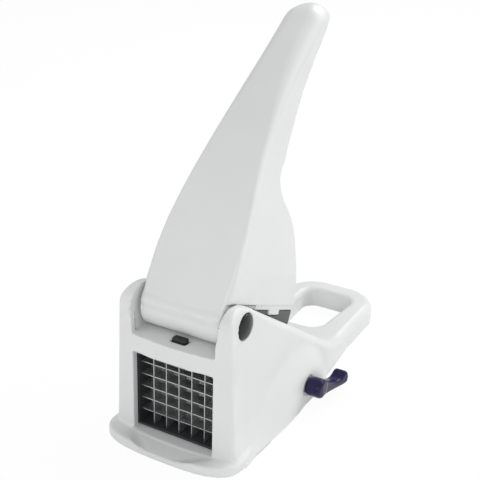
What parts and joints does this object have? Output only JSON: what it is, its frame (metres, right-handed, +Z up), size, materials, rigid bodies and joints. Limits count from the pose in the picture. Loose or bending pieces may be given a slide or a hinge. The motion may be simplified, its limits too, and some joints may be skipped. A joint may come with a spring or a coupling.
{
  "type": "french fry cutter",
  "caption": "Countertop french fry cutter: a hand lever swings a pegged pusher through the chamber and presses potato through a blade grid; a crank lever works the suction foot.",
  "frame": {"origin": "on the table plane and the middle plane, directly below the front edges of the blades", "axes": "+X to the right seen from the front, +Y from the blade window back to the grip loop, +Z up"},
  "size_m": [0.1342, 0.3112, 0.304],
  "materials": {
    "white_plastic": "satin moulded white",
    "charcoal_plastic": "fine satin charcoal",
    "black_plastic": "satin near-black",
    "blade_steel": "ground stainless strip",
    "axle_steel": "turned steel",
    "cap_plastic": "glossy dark grey",
    "grey_plastic": "satin mid grey",
    "inner_plastic": "plain light grey",
    "black_rubber": "smooth soft rubber",
    "purple_plastic": "glossy navy purple"
  },
  "bodies": {
    "base": {"base_housing": "white_plastic", "blade_frame": "charcoal_plastic", "upright_blade_1": "blade_steel", "upright_blade_2": "blade_steel", "upright_blade_3": "blade_steel", "upright_blade_4": "blade_steel", "upright_blade_5": "blade_steel", "level_blade_1": "blade_steel", "level_blade_2": "blade_steel", "level_blade_3": "blade_steel", "level_blade_4": "blade_steel", "level_blade_5": "blade_steel", "hinge_axle": "axle_steel", "pivot_cap_left": "cap_plastic", "pivot_cap_right": "cap_plastic"},
    "lever": {"lever_shell": "white_plastic", "pusher_block": "grey_plastic"},
    "catch": {"catch_tongue": "black_plastic"},
    "suction_crank": {"suction_lever": "purple_plastic", "crank_shaft": "inner_plastic", "shaft_clip": "axle_steel"},
    "suction_foot": {"suction_stem": "inner_plastic", "suction_cup": "black_rubber"}
  },
  "joints": [
    {"name": "lever_hinge", "type": "hinge", "parent": "base", "child": "lever", "pos_m": [0, 0.017, 0.106], "axis": [1, 0, 0], "range_deg": [-62.5, 25]},
    {"name": "suction_lever_turn", "type": "hinge", "parent": "base", "child": "suction_crank", "pos_m": [0, 0.102, 0.018], "axis": [1, 0, 0], "range_deg": [0, 90]},
    {"name": "suction_lift", "type": "slide", "parent": "base", "child": "suction_foot", "axis": [0, 0, 1], "range_m": [0, 0.00297]},
    {"name": "catch_press", "type": "hinge", "parent": "base", "child": "catch", "pos_m": [-0.0242, 0, 0.0837], "axis": [0, 1, 0], "range_deg": [0, 5], "stiffness_Nm_per_rad": 1.4}
  ],
  "couplings": [
    {"joint": "suction_lever_turn", "follows": "suction_lift", "rad_per_m": 528.8}
  ]
}
